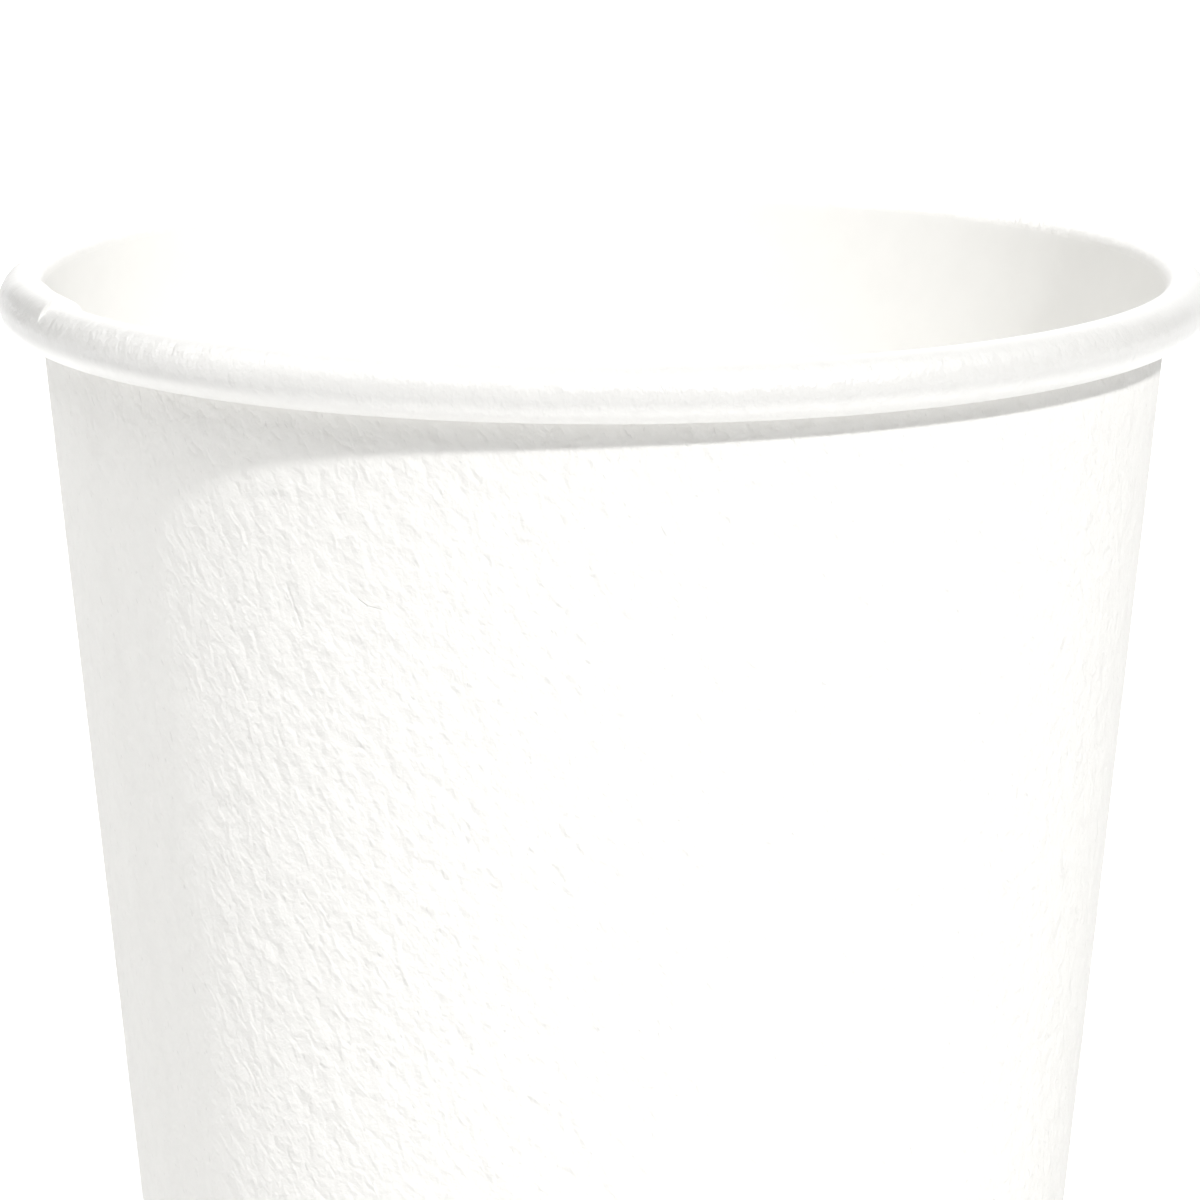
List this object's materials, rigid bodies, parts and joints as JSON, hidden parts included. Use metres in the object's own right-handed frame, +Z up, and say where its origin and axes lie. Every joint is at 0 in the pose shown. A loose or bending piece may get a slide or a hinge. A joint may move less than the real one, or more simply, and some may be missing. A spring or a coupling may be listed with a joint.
{
  "type": "paper coffee cup",
  "caption": "Plain white single-wall paper cup with a tapered wall, an outward rolled rim, a lapped side seam and a recessed bottom disc.",
  "frame": {"origin": "centre of the plane that the cup stands on", "axes": "+Z up the cup's axis, -Y towards the picture's camera, +X to its right; the seam's cut edge on the rim is 205 degrees from +X towards +Y"},
  "size_m": [0.08, 0.08, 0.0924],
  "materials": {
    "wall_paper": "uncoated matte outside with a fine felt-like fibre relief, satin coated inside",
    "bottom_paper": "satin coated on top, uncoated matte underneath"
  },
  "bodies": {
    "root": {"sidewall": "wall_paper", "bottom_disc": "bottom_paper"}
  },
  "joints": []
}
